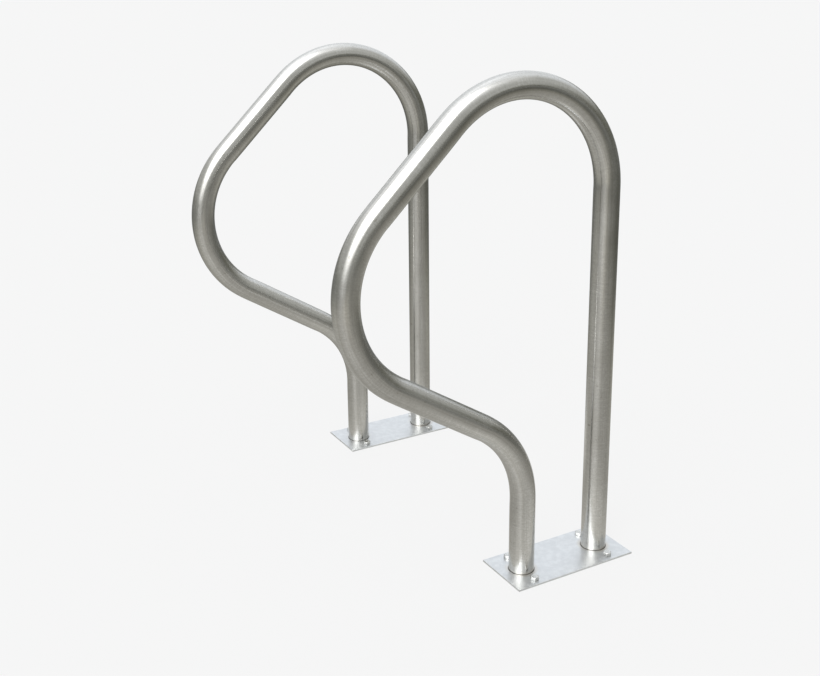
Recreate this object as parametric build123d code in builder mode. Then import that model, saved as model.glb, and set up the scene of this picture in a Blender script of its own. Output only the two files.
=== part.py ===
"""Exit handrail for a pool: a pair of bent stainless tubes, each on its own base plate bolted to the deck."""
import math
import os

from build123d import *

# All sizes are in millimetres. +Z is up with z = 0 at the finished deck, +X runs from the water
# towards the deck, and the origin is midway between the two rails and between their legs.

# Rails
rail_spacing = 604
tube_diameter = 43
tube_wall = 1.5
bend_radius = 170

# Corners of a rail's centreline, before its bends are rounded
leg_spacing = 152
knee_height = 228
loop_reach = 417
loop_height = 489
crown_height = 1047

# Base plates
plate_length = 235
plate_width = 108
plate_thickness = 3
plate_edge = 0.4
tube_hole = 44
bolt_hole = 10.5
bolt_pitch = 78

# Welds that join the tube's ends to the plate from below
weld_size = 1.2

# M8 x 30 hexagon bolts
bolt_diameter = 8
bolt_plain_length = 13
bolt_thread_length = 17
thread_pitch_diameter = 7.2
tip_chamfer = 1.0
head_across_flats = 13
head_height = 5.3
head_face_diameter = 12.2
head_chamfer_angle = 30
bolt_turn = 23

# Drop-in anchors, set in the slab below the deck's tiles
anchor_depth = 10
anchor_diameter = 10
anchor_length = 30
anchor_bore = 7.4
anchor_bore_depth = 18
anchor_waist = 6.0
anchor_throat = 4.6
slot_width = 1.0
slot_height = 11

# Expander cones, driven down inside the anchors
cone_length = 9
cone_lift = 1.5
cone_clearance = 0.05

tube_radius = tube_diameter / 2
front_leg = -leg_spacing / 2
rear_leg = leg_spacing / 2


def rail_tube(y):
    """One tube: up the front leg, out round the loop, back over the crown and down the rear leg."""
    with BuildPart() as tube:
        with BuildLine(Plane.XZ.offset(-y)) as centreline:
            FilletPolyline(
                (front_leg, weld_size),
                (front_leg, knee_height),
                (front_leg - loop_reach, loop_height),
                (rear_leg, crown_height),
                (rear_leg, weld_size),
                radius=bend_radius,
            )
        with BuildSketch(Plane((front_leg, y, weld_size))):
            Circle(tube_radius)
            Circle(tube_radius - tube_wall, mode=Mode.SUBTRACT)
        sweep(path=centreline.line)
    return tube.part


def base_plate(y):
    """A flat plate with a seat for each leg, bevelled below for its weld, and a bolt hole each side of it."""
    with BuildPart() as plate:
        with BuildSketch(Plane((0, y, 0))):
            Rectangle(plate_length, plate_width)
            with GridLocations(leg_spacing, bolt_pitch, 2, 2):
                Circle(bolt_hole / 2, mode=Mode.SUBTRACT)
            with GridLocations(leg_spacing, 0, 2, 1):
                Circle(tube_hole / 2, mode=Mode.SUBTRACT)
        extrude(amount=plate_thickness)
        outline = plate.edges().filter_by(GeomType.LINE).group_by(Axis.Z)[-1]
        chamfer(outline, plate_edge)
        holes = plate.edges().filter_by(GeomType.CIRCLE).group_by(Axis.Z)[0]
        chamfer(holes.group_by(SortBy.RADIUS)[-1], weld_size)
    return plate.part


def tube_welds(y):
    """The two rings of weld under the tube's ends, ground flush with the plate's underside."""
    inside = tube_radius - tube_wall
    outside = tube_hole / 2
    with BuildPart() as welds:
        for leg in (front_leg, rear_leg):
            with BuildSketch(Plane.XZ.offset(-y)):
                with Locations((leg, 0)):
                    Polygon(
                        (inside, 0),
                        (outside + weld_size, 0),
                        (outside, weld_size),
                        (inside, weld_size),
                        align=None,
                    )
            revolve(axis=Axis((leg, y, 0), (0, 0, 1)))
    return welds.part


def hexagon_bolt():
    """A bolt on the origin's axis: a head that stands on the plate, a plain grip and a threaded end."""
    top = plate_thickness + head_height
    face = head_face_diameter / 2
    outside = head_across_flats
    fall = (outside - face) * math.tan(math.radians(head_chamfer_angle))
    plain_end = plate_thickness - bolt_plain_length
    with BuildPart() as bolt:
        with BuildSketch(Plane.XY.offset(plate_thickness)):
            RegularPolygon(head_across_flats / 2, 6, major_radius=False)
        extrude(amount=head_height)
        with BuildSketch(Plane.XZ):
            Polygon((0, 0), (outside, 0), (outside, top - fall), (face, top), (0, top), align=None)
        revolve(axis=Axis.Z, mode=Mode.INTERSECT)
        with BuildSketch(Plane.XY.offset(plate_thickness)):
            Circle(bolt_diameter / 2)
        extrude(amount=-bolt_plain_length)
        with BuildSketch(Plane.XY.offset(plain_end)):
            Circle(thread_pitch_diameter / 2)
        extrude(amount=-bolt_thread_length)
        chamfer(bolt.edges().group_by(Axis.Z)[0], tip_chamfer)
    return bolt.part


def bore_radius(depth):
    """Radius of an anchor's tapered bore, this far below the anchor's rim."""
    share = (depth - anchor_bore_depth) / (anchor_length - anchor_bore_depth)
    return (anchor_waist + share * (anchor_throat - anchor_waist)) / 2


def drop_in_anchor():
    """A sleeve on the origin's axis, threaded above, tapered below and slotted so that it can spread."""
    with BuildPart() as anchor:
        with BuildSketch(Plane.XZ.shift_origin((0, 0, -anchor_depth))):
            Polygon(
                (anchor_bore / 2, 0),
                (anchor_diameter / 2, 0),
                (anchor_diameter / 2, -anchor_length),
                (bore_radius(anchor_length), -anchor_length),
                (bore_radius(anchor_bore_depth), -anchor_bore_depth),
                (anchor_bore / 2, -anchor_bore_depth),
                align=None,
            )
        revolve(axis=Axis.Z)
        with BuildSketch(Plane.XY.offset(-anchor_depth - anchor_length)):
            Rectangle(2 * anchor_diameter, slot_width)
            Rectangle(slot_width, 2 * anchor_diameter)
        extrude(amount=slot_height, mode=Mode.SUBTRACT)
    return anchor.part


def expander_cone():
    """The tapered plug inside an anchor, driven down to its throat."""
    bottom = anchor_length - cone_lift
    top = bottom - cone_length
    with BuildPart() as cone:
        with BuildSketch(Plane.XZ.shift_origin((0, 0, -anchor_depth))):
            Polygon(
                (0, -bottom),
                (bore_radius(bottom) - cone_clearance, -bottom),
                (bore_radius(top) - cone_clearance, -top),
                (0, -top),
                align=None,
            )
        revolve(axis=Axis.Z)
    return cone.part


def at_bolt_holes(fixing, y):
    """Four of a fixing, one at each bolt hole of a plate, each turned a little further than the last."""
    turn = 0
    with BuildPart() as group:
        for x in (front_leg, rear_leg):
            for side in (-1, 1):
                with Locations((x, y + side * bolt_pitch / 2)):
                    add(fixing, rotation=(0, 0, turn))
                turn += bolt_turn
    return group.part


def write(piece, name):
    """Label a finished piece and write it to its own file."""
    piece.label = name
    export_step(piece, f"parts/{name}.step")


os.makedirs("parts", exist_ok=True)
bolt = hexagon_bolt()
anchor = drop_in_anchor()
cone = expander_cone()
for side, y in (("right", -rail_spacing / 2), ("left", rail_spacing / 2)):
    write(rail_tube(y), f"{side}_rail_tube")
    write(base_plate(y), f"{side}_base_plate")
    write(tube_welds(y), f"{side}_tube_welds")
    write(at_bolt_holes(bolt, y), f"{side}_deck_bolts")
    write(at_bolt_holes(anchor, y), f"{side}_deck_anchors")
    write(at_bolt_holes(cone, y), f"{side}_anchor_cones")
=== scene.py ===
"""Looks of the pool handrail: satin tubes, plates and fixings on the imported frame. Lengths are in metres."""
import math

import bpy
import numpy as np
from mathutils import Matrix, Vector


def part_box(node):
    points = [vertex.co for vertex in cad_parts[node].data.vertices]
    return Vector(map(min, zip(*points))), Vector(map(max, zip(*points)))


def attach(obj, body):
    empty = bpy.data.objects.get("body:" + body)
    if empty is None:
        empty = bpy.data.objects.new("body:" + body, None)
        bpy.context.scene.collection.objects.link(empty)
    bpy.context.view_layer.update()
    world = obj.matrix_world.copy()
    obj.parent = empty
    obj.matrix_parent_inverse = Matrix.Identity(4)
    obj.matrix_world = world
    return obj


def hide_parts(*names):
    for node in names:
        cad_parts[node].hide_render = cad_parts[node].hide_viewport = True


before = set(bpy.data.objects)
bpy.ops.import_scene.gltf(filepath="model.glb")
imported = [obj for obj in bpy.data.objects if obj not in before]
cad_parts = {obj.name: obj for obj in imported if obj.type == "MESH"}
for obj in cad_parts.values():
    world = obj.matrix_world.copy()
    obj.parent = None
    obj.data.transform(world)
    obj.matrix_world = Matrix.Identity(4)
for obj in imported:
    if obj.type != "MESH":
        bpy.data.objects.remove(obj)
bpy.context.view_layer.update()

MM = 0.001
SIDES = ("right", "left")

# The rail's centreline: corners before the bends are rounded, measured from the deck and between the legs
LEG_SPACING = 152 * MM
KNEE_HEIGHT = 228 * MM
LOOP_REACH = 417 * MM
LOOP_HEIGHT = 489 * MM
CROWN_HEIGHT = 1047 * MM
BEND_RADIUS = 170 * MM
TUBE_WALL = 1.5 * MM

# Camera, as fitted to the photo
CAMERA_PLACE = Vector((-1.0416, -1.6532, 1.0103))
CAMERA_AZIMUTH = math.radians(-29.27)
CAMERA_ELEVATION = math.radians(15.99)
CAMERA_ROLL = math.radians(-0.62)
CAMERA_LENS = 48.62
CAMERA_SHIFT = -0.0902

# What the camera sees behind and below the rails
BACKDROP = (0.921, 0.921, 0.921, 1)
FLOOR_SIZE = 60.0
FLOOR_DROP = 0.3 * MM
FLOOR_GLOW = 0.895
FLOOR_MATT = (0.06, 0.06, 0.06, 1)


# ---------------------------------------------------------------- node helpers


class Nodes:
    """Adds nodes to a tree and links them in one call each."""

    def __init__(self, tree):
        self.tree = tree
        tree.nodes.clear()

    def set(self, socket, value):
        if isinstance(value, bpy.types.NodeSocket):
            self.tree.links.new(value, socket)
        elif value is not None:
            socket.default_value = value

    def add(self, kind, inputs=(), **settings):
        node = self.tree.nodes.new(kind)
        for name, value in settings.items():
            setattr(node, name, value)
        for key, value in dict(inputs).items():
            self.set(node.inputs[key], value)
        return node

    def math(self, operation, a, b=None, c=None):
        return self.add("ShaderNodeMath", {0: a, 1: b, 2: c}, operation=operation).outputs[0]

    def vector(self, operation, a, b=None, output="Vector"):
        return self.add("ShaderNodeVectorMath", {0: a, 1: b}, operation=operation).outputs[output]

    def scale(self, vector, factor):
        return self.add("ShaderNodeVectorMath", {0: vector, "Scale": factor}, operation="SCALE").outputs[0]

    def ramp(self, value, low, high, out_low=0.0, out_high=1.0):
        """Maps a value smoothly from low..high to out_low..out_high."""
        inputs = {"Value": value, "From Min": low, "From Max": high, "To Min": out_low, "To Max": out_high}
        return self.add("ShaderNodeMapRange", inputs, interpolation_type="SMOOTHSTEP").outputs["Result"]

    def mix(self, factor, a, b):
        node = self.add("ShaderNodeMix", data_type="RGBA")
        for socket, value in zip((node.inputs[0], node.inputs[6], node.inputs[7]), (factor, a, b)):
            self.set(socket, value)
        return node.outputs[2]

    def colours(self, value, stops):
        """Colour ramp from pairs of a position and a colour."""
        node = self.add("ShaderNodeValToRGB", {0: value})
        elements = node.color_ramp.elements
        while len(elements) < len(stops):
            elements.new(0.5)
        for element, (position, colour) in zip(elements, stops):
            element.position = position
            element.color = (*colour, 1)
        return node.outputs["Color"]

    def noise(self, place, scale, detail=3.0, roughness=0.5):
        inputs = {"Vector": place, "Scale": scale, "Detail": detail, "Roughness": roughness}
        return self.add("ShaderNodeTexNoise", inputs).outputs["Fac"]

    def stretch(self, place, factors):
        """Multiplies the three parts of a place, to draw out a texture one way."""
        return self.vector("MULTIPLY", place, factors)

    def textures(self, place, table):
        """Noise textures by name, each from its cells to a metre three ways, its detail and its roughness."""
        return {
            name: self.noise(self.stretch(place, cells), 1.0, detail, roughness)
            for name, (cells, detail, roughness) in table.items()
        }

    def layers(self, colour, textures, table):
        """Lays colours over another one, each by its texture's name, start, end, full share and colour."""
        for name, start, end, share, over in table:
            colour = self.mix(self.ramp(textures[name], start, end, 0.0, share), colour, over)
        return colour

    def total(self, textures, table):
        """Adds up textures, each by its name, where it starts and ends, and the values there."""
        parts = [self.ramp(textures[name], *span) for name, *span in table]
        result = parts[0]
        for part in parts[1:]:
            result = self.math("ADD", result, part)
        return result

    def relief(self, textures, depths):
        """Bumped normal from the names of textures and how deep each one is."""
        height = 0.0
        for name, depth in depths.items():
            height = self.math("MULTIPLY_ADD", textures[name], depth, height)
        return self.add("ShaderNodeBump", {"Strength": 1.0, "Distance": 1.0, "Height": height}).outputs[0]


# ---------------------------------------------------------------- tube


def rail_corners():
    """Corners of the centreline in the rail's plane, from the front foot to the rear one."""
    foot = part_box("right_rail_tube")[0].z
    front, rear = -LEG_SPACING / 2, LEG_SPACING / 2
    return (
        (front, foot),
        (front, KNEE_HEIGHT),
        (front - LOOP_REACH, LOOP_HEIGHT),
        (rear, CROWN_HEIGHT),
        (rear, foot),
    )


def route(step):
    """Points, directions and signed bend of the centreline, a step apart, with arcs at its corners."""
    corners = [np.array(c) for c in rail_corners()]
    points, directions, bends = [], [], []
    at = corners[0]
    for before, corner, after in zip(corners, corners[1:], corners[2:]):
        back = (before - corner) / np.linalg.norm(before - corner)
        ahead = (after - corner) / np.linalg.norm(after - corner)
        half = math.acos(back @ ahead) / 2
        start = corner + back * BEND_RADIUS / math.tan(half)
        centre = corner + (back + ahead) / np.linalg.norm(back + ahead) * BEND_RADIUS / math.sin(half)
        sign = math.copysign(1, -back[0] * ahead[1] + back[1] * ahead[0])
        add_run(at, start, step, points, directions, bends)
        turn = math.pi - 2 * half
        count = round(BEND_RADIUS * turn / step)
        spoke = start - centre
        for k in range(count):
            angle = sign * turn * k / count
            c, s = math.cos(angle), math.sin(angle)
            arm = np.array((c * spoke[0] - s * spoke[1], s * spoke[0] + c * spoke[1]))
            points.append(centre + arm)
            directions.append(sign * np.array((-arm[1], arm[0])) / BEND_RADIUS)
            bends.append(sign)
        at = corner + ahead * BEND_RADIUS / math.tan(half)
    add_run(at, corners[-1], step, points, directions, bends)
    points.append(corners[-1])
    directions.append(directions[-1])
    bends.append(0)
    return np.array(points), np.array(directions), np.array(bends, float)


def add_run(start, end, step, points, directions, bends):
    """Adds a straight run, without its last point, to the three lists of a route."""
    length = np.linalg.norm(end - start)
    count = max(1, round(length / step))
    for k in range(count):
        points.append(start + (end - start) * k / count)
        directions.append((end - start) / length)
        bends.append(0)


def smoothed(values, width):
    """Running mean of an array, weighted towards the middle of its window, with its ends held."""
    padded = np.pad(values, width, mode="edge")
    kernel = np.hanning(2 * width + 1)
    return np.convolve(padded, kernel / kernel.sum(), mode="valid")


# The tube's mesh: how far apart its rings are, points on a ring, and the angle where shading breaks
STEP = 4 * MM
AROUND = 96
TUBE_SHARP = 40

# What bending has done to the tube: flattened it in the bends, and left faint dents where they begin and end
OVAL = 0.014
OVAL_SPREAD = 0.4
OVAL_FADE = 18 * MM
DENT = 0.22 * MM
DENT_WIDTH = 9 * MM


def tube_wall(radius, y):
    """Rings of one wall of a rail's tube, slightly flattened in the bends and dented at their ends."""
    points, directions, bends = route(STEP)
    along = np.concatenate(([0], np.cumsum(np.linalg.norm(np.diff(points, axis=0), axis=1))))
    bend = smoothed(bends, round(OVAL_FADE / STEP))
    flat = OVAL * np.abs(bend)
    starts = np.flatnonzero(np.diff(bends) != 0)
    turn = np.linspace(0, 2 * math.pi, AROUND, endpoint=False)
    inward = radius * (1 - flat)[:, None] * np.cos(turn)
    sideways = radius * (1 + OVAL_SPREAD * flat)[:, None] * np.sin(turn)
    for s in starts:
        sign = bends[s] if bends[s] else bends[s + 1]
        near = np.exp(-(((along - along[s]) / DENT_WIDTH) ** 2))
        inner = np.clip(sign * np.cos(turn), 0, 1) ** 2
        inward -= sign * DENT * near[:, None] * inner * np.abs(np.cos(turn))
    normals = np.stack((-directions[:, 1], directions[:, 0]), axis=1)
    rings = np.empty((len(points), AROUND, 3))
    rings[:, :, 0] = points[:, :1] + normals[:, :1] * inward
    rings[:, :, 1] = y + sideways
    rings[:, :, 2] = points[:, 1:] + normals[:, 1:] * inward
    unrolled = np.empty_like(rings)
    unrolled[:, :, 0] = along[:, None]
    unrolled[:, :, 1] = radius * np.cos(turn)
    unrolled[:, :, 2] = radius * np.sin(turn)
    return rings, unrolled


def ring_faces(first, rows, columns, flip=False):
    """Quads between closed rings of vertices that are stored row by row."""
    r, c = np.meshgrid(np.arange(rows - 1), np.arange(columns), indexing="ij")
    n = (c + 1) % columns
    this, below = r * columns + first, (r + 1) * columns + first
    quads = np.stack((this + c, below + c, below + n, this + n), axis=-1).reshape(-1, 4)
    return quads[:, ::-1] if flip else quads


def mesh_object(name, vertices, faces, material):
    """A new smooth-shaded object at the origin from arrays of points and faces."""
    mesh = bpy.data.meshes.new(name)
    mesh.from_pydata([tuple(v) for v in vertices], [], [tuple(int(i) for i in f) for f in faces])
    mesh.update()
    mesh.polygons.foreach_set("use_smooth", [True] * len(mesh.polygons))
    mesh.materials.append(material)
    piece = bpy.data.objects.new(name, mesh)
    bpy.context.scene.collection.objects.link(piece)
    return piece


def rail_tube(side, material):
    """One rail's tube with both of its walls and its two annular ends."""
    low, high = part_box(f"{side}_rail_tube")
    y = (low.y + high.y) / 2
    radius = (high.y - low.y) / 2
    outer, outer_place = tube_wall(radius, y)
    inner, inner_place = tube_wall(radius - TUBE_WALL, y)
    rows = len(outer)
    count = rows * AROUND
    vertices = np.concatenate((outer.reshape(-1, 3), inner.reshape(-1, 3)))
    faces = [ring_faces(0, rows, AROUND), ring_faces(count, rows, AROUND, flip=True)]
    c = np.arange(AROUND)
    n = (c + 1) % AROUND
    faces.append(np.stack((c, n, n + count, c + count), axis=1))
    last = count - AROUND
    faces.append(np.stack((c + last, c + last + count, n + last + count, n + last), axis=1))
    faces = np.concatenate(faces)
    piece = mesh_object(f"{side}_tube", vertices, faces, material)
    place = np.concatenate((outer_place.reshape(-1, 3), inner_place.reshape(-1, 3)))
    store_place(piece, place)
    add_route_uv(piece, faces, rows)
    sharpen(piece, TUBE_SHARP)
    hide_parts(f"{side}_rail_tube")
    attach(piece, "root")


def store_place(piece, place):
    """Keeps each vertex's place on the straightened piece, for its textures."""
    attribute = piece.data.attributes.new("unrolled", "FLOAT_VECTOR", "POINT")
    attribute.data.foreach_set("vector", np.asarray(place, np.float32).ravel())


def add_route_uv(piece, faces, rows):
    """UVs with U along the tube and V round it, which give the direction of its grain."""
    row = (faces % (rows * AROUND)) // AROUND
    column = (faces % AROUND).astype(float)
    wraps = (column.max(axis=1) == AROUND - 1) & (column.min(axis=1) == 0)
    column[wraps[:, None] & (column == 0)] = AROUND
    uv = np.stack((row / (rows - 1), column / AROUND), axis=-1)
    layer = piece.data.uv_layers.new(name="Route")
    layer.data.foreach_set("uv", uv.astype(np.float32).ravel())


def sharpen(piece, degrees):
    """Marks the edges that turn more than this as sharp, so that smooth shading stops there."""
    piece.data.set_sharp_from_angle(angle=math.radians(degrees))


# ---------------------------------------------------------------- bolts

# Places of the bolts round the middle of a plate, and all their sizes, are in millimetres; turns in degrees
BOLT_PLACES = ((-76, -39), (-76, 39), (76, -39), (76, 39))
BOLT_TURN = 23
BOLT_AROUND = 96
BOLT_SHARP = 28

# Radius of the first and last rows of a bolt, at the middles of its head and its tip
BOLT_CENTRE = 0.05

# Head: across its flats, its foot and top over the deck, and the round face left by its chamfer
HEAD_ACROSS = 13
HEAD_FOOT = 3.0
HEAD_TOP = 8.3
FACE_RADIUS = 6.1
CHAMFER = math.radians(30)

# The shallow dish in the top of the head: radius and depth of its flat, of its slope and of its rim
DISH = ((4.6, 0.2), (5.3, 0.12), (5.7, 0.0))

# Softened edges of the head: how far they reach in, up and down at the chamfer, and in and up at its foot
CHAMFER_EDGE = (0.08, 0.04, 0.06)
LOWER_EDGE = (0.12, 0.15)

# Washer face under the head
WASHER_RADIUS = 5.9
WASHER_HEIGHT = 0.4

# Shank: plain grip with a short taper, then the thread, with its flats as a share of its pitch and the
# number of rows to a pitch
GRIP_RADIUS = 4.0
GRIP_END = -10
GRIP_TAPER = 0.5
TIP = -27
TIP_CHAMFER = 1.0
THREAD_PITCH = 1.25
THREAD_CREST = 3.68
THREAD_ROOT = 3.02
THREAD_FLAT = 1 / 6
THREAD_ROWS = 8


def bolt_rows(turn):
    """Rows of a bolt's surface, in millimetres, from the middle of its head down to its tip."""
    around = np.linspace(0, 2 * math.pi, BOLT_AROUND, endpoint=False)
    ones = np.ones(BOLT_AROUND)
    from_corner = (around + math.pi / 6) % (math.pi / 3) - math.pi / 6
    flats = HEAD_ACROSS / 2 / np.cos(np.pi / 6 - np.abs(from_corner))
    shoulder = HEAD_TOP - (flats - FACE_RADIUS) * math.tan(CHAMFER)
    edge_in, edge_up, edge_down = CHAMFER_EDGE
    lower_in, lower_up = LOWER_EDGE
    washer_top = HEAD_FOOT + WASHER_HEIGHT
    rows = [(BOLT_CENTRE * ones, (HEAD_TOP - DISH[0][1]) * ones)]
    rows += [(radius * ones, (HEAD_TOP - depth) * ones) for radius, depth in DISH]
    rows += [
        (FACE_RADIUS * ones, HEAD_TOP * ones),
        (flats - edge_in, shoulder + edge_up),
        (flats, shoulder - edge_down),
        (flats, (washer_top + lower_up) * ones),
        (flats - lower_in, washer_top * ones),
        (WASHER_RADIUS * ones, washer_top * ones),
        (WASHER_RADIUS * ones, HEAD_FOOT * ones),
        (GRIP_RADIUS * ones, HEAD_FOOT * ones),
        (GRIP_RADIUS * ones, (GRIP_END + GRIP_TAPER) * ones),
    ]
    for z in np.arange(GRIP_END, TIP, -THREAD_PITCH / THREAD_ROWS):
        chamfered = THREAD_CREST - TIP_CHAMFER + (z - TIP)
        rows.append((np.minimum(thread_radius(around, z), chamfered), z * ones))
    rows.append((BOLT_CENTRE * ones, TIP * ones))
    angle = around + math.radians(turn)
    return np.array([np.stack((r * np.cos(angle), r * np.sin(angle), z), axis=1) for r, z in rows])


def thread_radius(around, z):
    """Radius of the thread at a height, by the angles round it."""
    phase = (z / THREAD_PITCH - around / (2 * math.pi)) % 1
    ridge = np.clip((1 - THREAD_FLAT - np.abs(2 * phase - 1)) / (1 - 2 * THREAD_FLAT), 0, 1)
    return THREAD_ROOT + (THREAD_CREST - THREAD_ROOT) * ridge


def bolts(side, material):
    """A rail's four bolts: chamfered hexagon heads on washer faces, plain grips and cut threads."""
    low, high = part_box(f"{side}_deck_bolts")
    middle = (low.y + high.y) / 2
    vertices, faces = [], []
    for k, (x, y) in enumerate(BOLT_PLACES):
        rows = bolt_rows(BOLT_TURN * k)
        first = sum(len(v) for v in vertices)
        vertices.append(rows.reshape(-1, 3) * MM + (x * MM, middle + y * MM, 0))
        faces.append(ring_faces(first, len(rows), BOLT_AROUND))
    piece = mesh_object(f"{side}_bolts", np.concatenate(vertices), np.concatenate(faces), material)
    sharpen(piece, BOLT_SHARP)
    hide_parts(f"{side}_deck_bolts")
    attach(piece, "root")


# ---------------------------------------------------------------- materials


def metal(made, colour, roughness, normal, **settings):
    """Finishes a new material as metal, from sockets for its colour, roughness and normal."""
    material, nodes = made
    inputs = {"Base Color": colour, "Metallic": 1.0, "Roughness": roughness, "Normal": normal}
    inputs.update(settings)
    shader = nodes.add("ShaderNodeBsdfPrincipled", inputs)
    nodes.add("ShaderNodeOutputMaterial", {"Surface": shader.outputs[0]})
    return material


def new_material(name):
    """An empty material and the helper for its nodes."""
    material = bpy.data.materials.new(name)
    material.use_nodes = True
    return material, Nodes(material.node_tree)


# Textures on the straightened tube: cells to a metre along it and across it, detail, roughness
TUBE_TEXTURES = {
    "polish": ((620, 30, 30), 4.0, 0.65),
    "drawn": ((5, 420, 420), 4.0, 0.5),
    "painted_reflection_streaks": ((1.5, 230, 230), 2.0, 0.5),
    "waves": ((9, 60, 60), 2.0, 0.5),
    "smudge": ((14, 34, 34), 5.0, 0.62),
    "grain": ((330, 230, 230), 4.0, 0.7),
    "specks": ((150, 150, 150), 2.0, 0.5),
}

# Colours laid over the tube's, one after another: texture, where it starts and ends, full share, colour
TUBE_DARK = (0.625, 0.62, 0.60, 1)
TUBE_LAYERS = (
    ("smudge", 0.32, 0.68, 1.0, (0.70, 0.698, 0.685, 1)),
    ("grain", 0.36, 0.64, 0.4, (0.46, 0.45, 0.42, 1)),
    ("polish", 0.36, 0.64, 0.3, (0.47, 0.465, 0.45, 1)),
    ("drawn", 0.38, 0.62, 0.25, (0.48, 0.47, 0.44, 1)),
    # Painted reflection: dark streaks along the tube stand in for dark bands of the surroundings mirrored in
    # the steel.
    ("painted_reflection_streaks", 0.5, 0.68, 0.28, (0.40, 0.39, 0.35, 1)),
    ("specks", 0.7, 0.76, 0.5, (0.3, 0.28, 0.23, 1)),
)

# Depths of the marks, parts of the roughness with their ranges and values, and how far light is drawn out
TUBE_DEPTHS = {"polish": 0.0003 * MM, "drawn": 0.0007 * MM, "waves": 0.006 * MM, "grain": 0.0002 * MM}
TUBE_ROUGHNESS = (("smudge", 0.3, 0.7, 0.17, 0.226), ("grain", 0.35, 0.65, -0.02, 0.03))
TUBE_ANISOTROPY = 0.8


def tube_material():
    """Satin stainless tube: fine polishing marks round it, drawn-out marks along it, smudges, specks, and dark
    streaks along it that are painted reflection.
    """
    made = new_material("satin_tube")
    nodes = made[1]
    place = nodes.add("ShaderNodeAttribute", attribute_name="unrolled").outputs["Vector"]
    textures = nodes.textures(place, TUBE_TEXTURES)
    colour = nodes.layers(TUBE_DARK, textures, TUBE_LAYERS)
    rough = nodes.total(textures, TUBE_ROUGHNESS)
    normal = nodes.relief(textures, TUBE_DEPTHS)
    grain_way = nodes.add("ShaderNodeTangent", direction_type="UV_MAP", uv_map="Route").outputs[0]
    return metal(made, colour, rough, normal, Anisotropic=TUBE_ANISOTROPY, Tangent=grain_way)


# Textures on the plates: cells to a metre, detail, roughness. The grain runs along them.
PLATE_TEXTURES = {
    "grain": ((40, 900, 300), 3.0, 0.5),
    "mottle": ((90, 90, 90), 5.0, 0.65),
    "cloud": ((16, 16, 16), 3.0, 0.5),
}
PLATE_DARK = (0.64, 0.655, 0.67, 1)
PLATE_LAYERS = (("mottle", 0.35, 0.7, 1.0, (0.72, 0.735, 0.75, 1)),)
PLATE_DEPTHS = {"grain": 0.001 * MM, "mottle": 0.0006 * MM, "cloud": 0.012 * MM}
PLATE_ROUGHNESS = (("cloud", 0.3, 0.7, 0.35, 0.41), ("mottle", 0.3, 0.7, 0.0, 0.05))

# Round each foot: heat tint in patches, and painted shade as a dark line where the crevice of the joint would
# be shaded. Each has the distances from the tube where it is full and where it has faded, its full share and
# its colour. The patches follow the clouds.
STRAW = (2 * MM, 9 * MM, 0.5, (0.55, 0.48, 0.38, 1))
STRAW_CLOUDS = (0.3, 0.7)
JOINT_SHADE = (0.5 * MM, 1.6 * MM, 0.85, (0.10, 0.095, 0.085, 1))


def plate_material():
    """Bright satin sheet with fine mottling, straw-coloured heat tint, and painted shade as a dark line round
    each foot.
    """
    made = new_material("satin_plate")
    nodes = made[1]
    place = nodes.add("ShaderNodeTexCoord").outputs["Object"]
    textures = nodes.textures(place, PLATE_TEXTURES)
    colour = nodes.layers(PLATE_DARK, textures, PLATE_LAYERS)
    around = foot_distance(nodes, place)
    full, faded, share, tint = STRAW
    near = nodes.ramp(around, full, faded, share, 0.0)
    patches = nodes.ramp(textures["cloud"], *STRAW_CLOUDS)
    colour = nodes.mix(nodes.math("MULTIPLY", near, patches), colour, tint)
    # Painted shade: a dark line on the plate just outside the hole, where the crevice round the tube is
    # shaded.
    full, faded, share, dark = JOINT_SHADE
    colour = nodes.mix(nodes.ramp(around, full, faded, share, 0.0), colour, dark)
    rough = nodes.total(textures, PLATE_ROUGHNESS)
    return metal(made, colour, rough, nodes.relief(textures, PLATE_DEPTHS))


def foot_distance(nodes, place):
    """Distance from the outside of the nearest leg, over the deck."""
    low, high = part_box("left_rail_tube")
    radius = (high.y - low.y) / 2
    leg = Vector((LEG_SPACING / 2, (high.y + low.y) / 2, 0))
    parts = nodes.add("ShaderNodeSeparateXYZ", {0: nodes.vector("ABSOLUTE", place)})
    flat = nodes.add("ShaderNodeCombineXYZ", {0: parts.outputs[0], 1: parts.outputs[1], 2: 0.0}).outputs[0]
    away = nodes.vector("DISTANCE", flat, tuple(leg), output="Value")
    return nodes.math("SUBTRACT", away, radius)


# Textures on the small fixings: cells to a metre, detail, roughness. The turning marks run round them.
FIXING_TEXTURES = {"mottle": ((700, 700, 700), 4.0, 0.6), "turned": ((120, 120, 6000), 2.0, 0.5)}
FIXING_DEPTHS = {"mottle": 0.01 * MM, "turned": 0.004 * MM}

# Ranges of the mottling that change the colour and the roughness, and the roughness either side of the middle
FIXING_COLOURED = (0.35, 0.7)
FIXING_WORN = (0.3, 0.7)
FIXING_SMOOTHER = 0.05
FIXING_ROUGHER = 0.06

# Looks of the fixings: light colour, dark colour, middle roughness
BOLT_LOOK = ((0.72, 0.72, 0.71, 1), (0.58, 0.58, 0.56, 1), 0.24)
ANCHOR_LOOK = ((0.56, 0.56, 0.55, 1), (0.44, 0.44, 0.43, 1), 0.34)
WELD_LOOK = ((0.52, 0.50, 0.47, 1), (0.36, 0.33, 0.29, 1), 0.36)


def fixing_material(name, light, dark, roughness):
    """Plain bright steel of a small fixing, with duller mottling and slight turning marks."""
    made = new_material(name)
    nodes = made[1]
    place = nodes.add("ShaderNodeTexCoord").outputs["Object"]
    textures = nodes.textures(place, FIXING_TEXTURES)
    colour = nodes.layers(dark, textures, (("mottle", *FIXING_COLOURED, 1.0, light),))
    smoothest, roughest = roughness - FIXING_SMOOTHER, roughness + FIXING_ROUGHER
    rough = nodes.ramp(textures["mottle"], *FIXING_WORN, smoothest, roughest)
    return metal(made, colour, rough, nodes.relief(textures, FIXING_DEPTHS))


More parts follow.
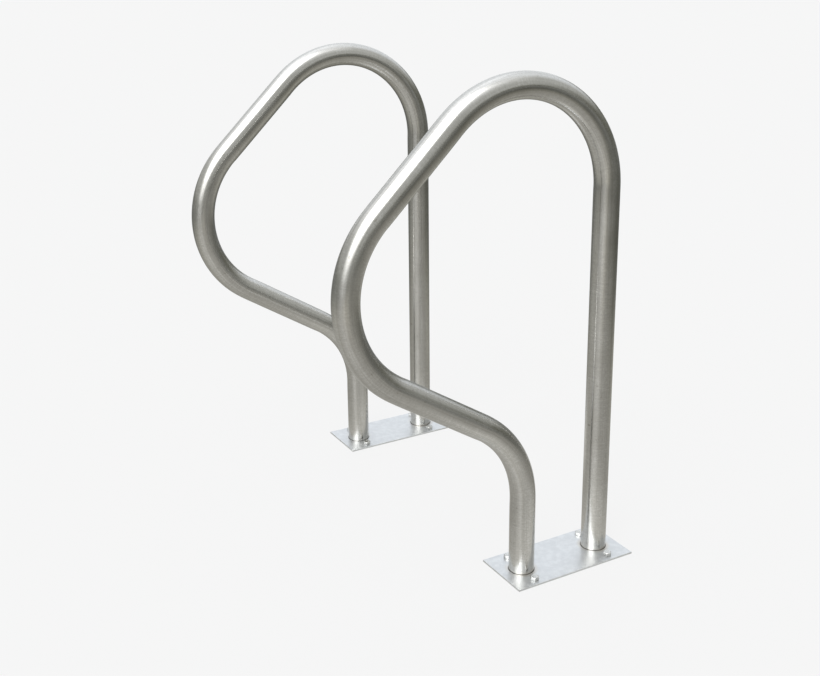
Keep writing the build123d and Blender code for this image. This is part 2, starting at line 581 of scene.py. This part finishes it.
# ---------------------------------------------------------------- light, floor and camera


def direction(azimuth, elevation):
    """Unit vector towards a place in the sky; azimuth runs from +X towards +Y, in degrees."""
    a, e = math.radians(azimuth), math.radians(elevation)
    return (math.cos(a) * math.cos(e), math.sin(a) * math.cos(e), math.sin(e))


# Brightness of the sky by elevation in degrees, from a dark line of hedges up to the zenith
SKY = (
    (-10, (0.15, 0.15, 0.12)),
    (0, (0.15, 0.15, 0.12)),
    (2, (0.2, 0.2, 0.17)),
    (5, (0.46, 0.465, 0.435)),
    (11, (0.55, 0.555, 0.53)),
    (30, (0.57, 0.575, 0.55)),
    (42, (0.74, 0.75, 0.73)),
    (52, (0.88, 0.89, 0.88)),
    (64, (1.24, 1.25, 1.25)),
    (74, (1.0, 1.01, 1.02)),
    (90, (0.88, 0.9, 0.93)),
)

# The hedges stand higher on one side. Its azimuth is in degrees, and so are the angles from it up to which
# the rise is full and where it ends. The rise, and the heights between which the soft lights come up from
# behind the hedges, are heights on a sphere of radius 1.
HEDGE_AZIMUTH = 0
HEDGE_FULL = 38
HEDGE_END = 50
HEDGE_RISE = 0.17
HEDGE_TOP = (0.03, 0.12)

# Soft lights: azimuth, elevation, angle of full light and angle where it ends, in degrees, then colour
LIGHTS = (
    (203, 60, 18, 36, (2.2, 2.2, 2.2)),
    (211, 32, 12, 31, (1.4, 1.4, 1.4)),
    (221, 46, 4, 18, (4.0, 4.0, 3.9)),
    (132, 49, 5, 25, (0.40, 0.40, 0.43)),
    (55, 40, 22, 60, (0.41, 0.44, 0.50)),
)

# What the steel mirrors of the ground: its colour by distance in metres from a place in front of the rails
PAVING_CENTRE = (-0.5, -0.6, 0)
PAVING_REACH = 10.0
PAVING = (
    (0.0, (0.435, 0.425, 0.39)),
    (0.9, (0.425, 0.415, 0.38)),
    (1.2, (0.39, 0.38, 0.34)),
    (1.5, (0.295, 0.285, 0.245)),
    (2.0, (0.16, 0.156, 0.125)),
    (2.5, (0.085, 0.085, 0.065)),
    (9.0, (0.085, 0.085, 0.065)),
)
PAVING_SHINE = (0.5, 0.5, 0.5, 1)
PAVING_ROUGHNESS = 0.32
PAVING_IOR = 1.6

# Light added to the mirrored ground in patches: place, reach, colour
PATCHES = (
    ((-1.3, -2.1, 0), 1.5, (0.42, 0.40, 0.35)),
    ((-2.0, 0.9, 0), 2.4, (0.25, 0.25, 0.235)),
    ((1.0, 0.1, 0), 0.9, (0.22, 0.22, 0.2)),
    ((0.0, -0.39, 0), 0.36, (0.38, 0.38, 0.37)),
    ((0.0, 0.21, 0), 0.36, (0.38, 0.38, 0.37)),
)


def surroundings():
    """Lights the scene with a soft sky; the camera itself sees a plain pale backdrop."""
    world = bpy.data.worlds.new("soft_studio")
    bpy.context.scene.world = world
    world.use_nodes = True
    nodes = Nodes(world.node_tree)
    looking = nodes.add("ShaderNodeTexCoord").outputs["Generated"]
    looking = nodes.vector("NORMALIZE", looking)
    height = nodes.add("ShaderNodeSeparateXYZ", {0: looking}).outputs["Z"]
    side = nodes.vector("NORMALIZE", nodes.stretch(looking, (1, 1, 0)))
    side = nodes.vector("DOT_PRODUCT", side, direction(HEDGE_AZIMUTH, 0), output="Value")
    high, low = math.cos(math.radians(HEDGE_FULL)), math.cos(math.radians(HEDGE_END))
    height = nodes.math("SUBTRACT", height, nodes.ramp(side, low, high, 0.0, HEDGE_RISE))
    stops = [((math.sin(math.radians(elevation)) + 1) / 2, colour) for elevation, colour in SKY]
    light = nodes.colours(nodes.math("MULTIPLY_ADD", height, 0.5, 0.5), stops)
    above = nodes.ramp(height, *HEDGE_TOP)
    for azimuth, elevation, full, end, colour in LIGHTS:
        facing = nodes.vector("DOT_PRODUCT", looking, direction(azimuth, elevation), output="Value")
        share = nodes.ramp(facing, math.cos(math.radians(end)), math.cos(math.radians(full)))
        light = nodes.vector("ADD", light, nodes.scale(colour, nodes.math("MULTIPLY", share, above)))
    lighting = nodes.add("ShaderNodeBackground", {"Color": light, "Strength": 1.0})
    backdrop = nodes.add("ShaderNodeBackground", {"Color": BACKDROP, "Strength": 1.0})
    seen = nodes.add("ShaderNodeLightPath").outputs["Is Camera Ray"]
    mixed = nodes.add("ShaderNodeMixShader", {0: seen, 1: lighting.outputs[0], 2: backdrop.outputs[0]})
    nodes.add("ShaderNodeOutputWorld", {"Surface": mixed.outputs[0]})


def floor():
    """A wide floor, pale like the backdrop with a soft shadow; the steel mirrors it as darker paving."""
    made, nodes = new_material("pale_floor")
    place = nodes.add("ShaderNodeTexCoord").outputs["Object"]
    away = nodes.vector("DISTANCE", place, PAVING_CENTRE, output="Value")
    stops = [(distance / PAVING_REACH, colour) for distance, colour in PAVING]
    ground = nodes.colours(nodes.math("DIVIDE", away, PAVING_REACH), stops)
    for centre, reach, colour in PATCHES:
        share = nodes.ramp(nodes.vector("DISTANCE", place, centre, output="Value"), reach, 0.0)
        ground = nodes.vector("ADD", ground, nodes.scale(colour, share))
    paving = nodes.add("ShaderNodeEmission", {"Color": ground, "Strength": 1.0})
    glare = nodes.add("ShaderNodeBsdfAnisotropic", {"Color": PAVING_SHINE, "Roughness": PAVING_ROUGHNESS})
    shine = nodes.add("ShaderNodeFresnel", {"IOR": PAVING_IOR}).outputs[0]
    mirrored = nodes.add("ShaderNodeMixShader", {0: shine, 1: paving.outputs[0], 2: glare.outputs[0]})
    glow = nodes.add("ShaderNodeEmission", {"Color": BACKDROP, "Strength": FLOOR_GLOW})
    matt = nodes.add("ShaderNodeBsdfDiffuse", {"Color": FLOOR_MATT})
    both = nodes.add("ShaderNodeAddShader", {0: glow.outputs[0], 1: matt.outputs[0]})
    glossy = nodes.add("ShaderNodeLightPath").outputs["Is Glossy Ray"]
    mixed = nodes.add("ShaderNodeMixShader", {0: glossy, 1: both.outputs[0], 2: mirrored.outputs[0]})
    nodes.add("ShaderNodeOutputMaterial", {"Surface": mixed.outputs[0]})
    made.cycles.emission_sampling = "NONE"
    half = FLOOR_SIZE / 2
    corners = [(x, y, -FLOOR_DROP) for x, y in ((-half, -half), (half, -half), (half, half), (-half, half))]
    plane = mesh_object("floor", corners, [(0, 1, 2, 3)], made)


def camera():
    """The camera, turned by azimuth, elevation and roll."""
    a, e = CAMERA_AZIMUTH, CAMERA_ELEVATION
    back = Vector((math.sin(a) * math.cos(e), -math.cos(a) * math.cos(e), math.sin(e)))
    level = Vector((math.cos(a), math.sin(a), 0))
    upright = back.cross(level)
    c, s = math.cos(CAMERA_ROLL), math.sin(CAMERA_ROLL)
    right = c * level + s * upright
    up = -s * level + c * upright
    made = bpy.data.objects.new("camera", bpy.data.cameras.new("camera"))
    made.matrix_world = Matrix.Translation(CAMERA_PLACE) @ Matrix((right, up, back)).transposed().to_4x4()
    made.data.lens = CAMERA_LENS
    made.data.shift_y = CAMERA_SHIFT
    made.data.clip_end = 2 * FLOOR_SIZE
    bpy.context.scene.collection.objects.link(made)
    bpy.context.scene.camera = made


def dress(node, material):
    """Gives a CAD node a new material in place of its plain one."""
    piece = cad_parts[node]
    for material_slot in piece.material_slots:
        material_slot.material = material


# ---------------------------------------------------------------- build

surroundings()
floor()
camera()
scene = bpy.context.scene
scene.view_settings.view_transform = "Standard"
scene.view_settings.look = "None"

tube_steel = tube_material()
plate_steel = plate_material()
bolt_steel = fixing_material("bolt_steel", *BOLT_LOOK)
anchor_steel = fixing_material("anchor_steel", *ANCHOR_LOOK)
weld_steel = fixing_material("weld_steel", *WELD_LOOK)
for side in SIDES:
    rail_tube(side, tube_steel)
    dress(f"{side}_base_plate", plate_steel)
    dress(f"{side}_tube_welds", weld_steel)
    bolts(side, bolt_steel)
    dress(f"{side}_deck_anchors", anchor_steel)
    dress(f"{side}_anchor_cones", anchor_steel)
